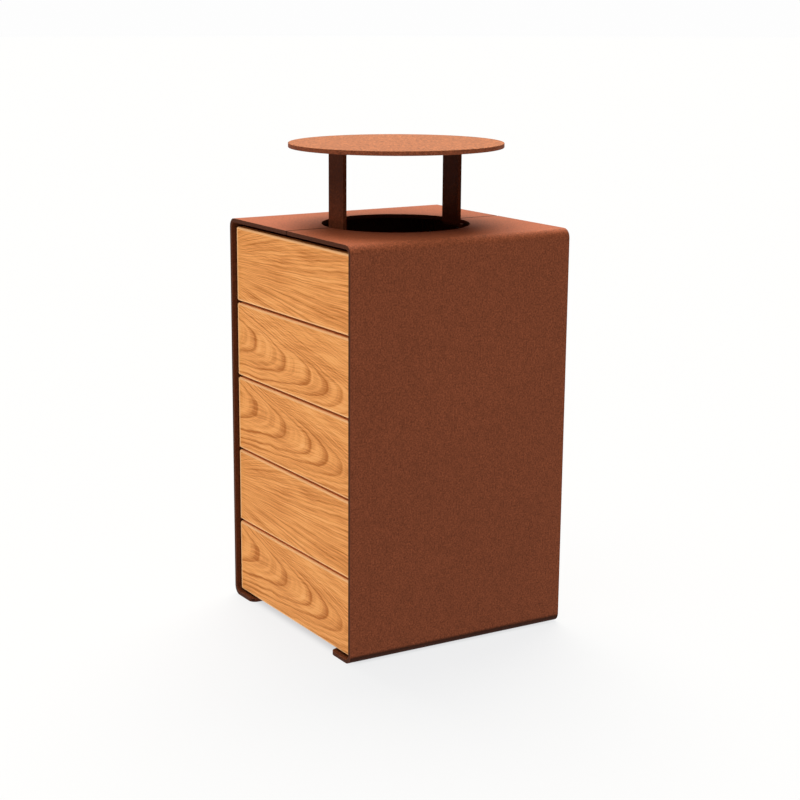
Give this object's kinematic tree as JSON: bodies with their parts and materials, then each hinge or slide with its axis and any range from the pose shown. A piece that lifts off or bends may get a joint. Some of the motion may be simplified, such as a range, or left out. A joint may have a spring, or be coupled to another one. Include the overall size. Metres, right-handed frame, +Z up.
{
  "type": "litter bin",
  "caption": "Square outdoor litter bin with wooden faces, bent steel side shells, a round rain cover on two legs, a lockable door and a lift-out liner.",
  "frame": {"origin": "centre of the footprint, on the ground", "axes": "+Z up; -Y is the fixed wooden face, +Y the face with the door, +X and -X the steel side walls"},
  "size_m": [0.5, 0.5, 0.982],
  "materials": {
    "shell_coating": "fine textured matt powder coat, rust brown",
    "cover_coating": "fine textured matt powder coat, rust brown",
    "frame_coating": "matt powder coat, rust brown",
    "oak_boards": "oiled satin, long grain along the boards",
    "door_hardware": "satin",
    "zinc_fasteners": "zinc plated",
    "handle_wire": "zinc plated",
    "liner_coating": "black coated, slightly worn",
    "bumper_rubber": "matt"
  },
  "bodies": {
    "frame": {"base_bolt_front_left": "zinc_fasteners", "base_bolt_front_right": "zinc_fasteners", "base_bolt_rear_left": "zinc_fasteners", "base_bolt_rear_right": "zinc_fasteners", "base_plate": "frame_coating", "cover_leg_front": "cover_coating", "cover_leg_rear": "cover_coating", "crossbar_bolt_front_left": "zinc_fasteners", "crossbar_bolt_front_right": "zinc_fasteners", "crossbar_bolt_rear_left": "zinc_fasteners", "crossbar_bolt_rear_right": "zinc_fasteners", "door_bumper_bottom": "bumper_rubber", "door_bumper_top": "bumper_rubber", "door_stop_bar": "frame_coating", "front_board_1": "oak_boards", "front_board_2": "oak_boards", "front_board_3": "oak_boards", "front_board_4": "oak_boards", "front_board_5": "oak_boards", "front_stile_left": "frame_coating", "front_stile_right": "frame_coating", "hinge_pin_bottom": "door_hardware", "hinge_pin_top": "door_hardware", "leg_bolt_front_left": "zinc_fasteners", "leg_bolt_front_right": "zinc_fasteners", "leg_bolt_rear_left": "zinc_fasteners", "leg_bolt_rear_right": "zinc_fasteners", "liner_guide_left": "frame_coating", "liner_guide_right": "frame_coating", "liner_stop": "frame_coating", "rain_cover_disc": "cover_coating", "side_shell_left": "shell_coating", "side_shell_right": "shell_coating", "top_crossbar_front": "frame_coating", "top_crossbar_rear": "frame_coating"},
    "door": {"door_board_1": "oak_boards", "door_board_2": "oak_boards", "door_board_3": "oak_boards", "door_board_4": "oak_boards", "door_board_5": "oak_boards", "door_rail_bottom": "frame_coating", "door_rail_middle": "frame_coating", "door_rail_top": "frame_coating", "door_stile_hinge": "frame_coating", "door_stile_lock": "frame_coating", "pivot_shoe_bottom": "door_hardware", "pivot_shoe_top": "door_hardware", "lock_housing": "door_hardware", "lock_nut": "door_hardware"},
    "lock": {"lock_plug": "door_hardware", "lock_cam": "door_hardware", "lock_cam_screw": "door_hardware"},
    "liner": {"liner": "liner_coating", "liner_rim": "liner_coating", "handle_lug_left_front": "handle_wire", "handle_lug_left_rear": "handle_wire", "handle_lug_right_front": "handle_wire", "handle_lug_right_rear": "handle_wire"},
    "handle_left": {"liner_handle_left": "handle_wire"},
    "handle_right": {"liner_handle_right": "handle_wire"}
  },
  "joints": [
    {"name": "door_hinge", "type": "hinge", "parent": "frame", "child": "door", "pos_m": [0.214, 0.23, 0.4], "axis": [0, 0, -1], "range_deg": [0, 110]},
    {"name": "lock_turn", "type": "hinge", "parent": "door", "child": "lock", "pos_m": [-0.214, 0.22, 0.56527], "axis": [0, 1, 0], "range_deg": [0, 90]},
    {"name": "liner_lift", "type": "slide", "parent": "frame", "child": "liner", "axis": [0, 0, 1], "range_m": [0, 0.1]},
    {"name": "handle_left_swing", "type": "hinge", "parent": "liner", "child": "handle_left", "pos_m": [-0.202, 0, 0.64], "axis": [0, 1, 0], "range_deg": [0, 100]},
    {"name": "handle_right_swing", "type": "hinge", "parent": "liner", "child": "handle_right", "pos_m": [0.202, 0, 0.64], "axis": [0, -1, 0], "range_deg": [0, 100]}
  ]
}
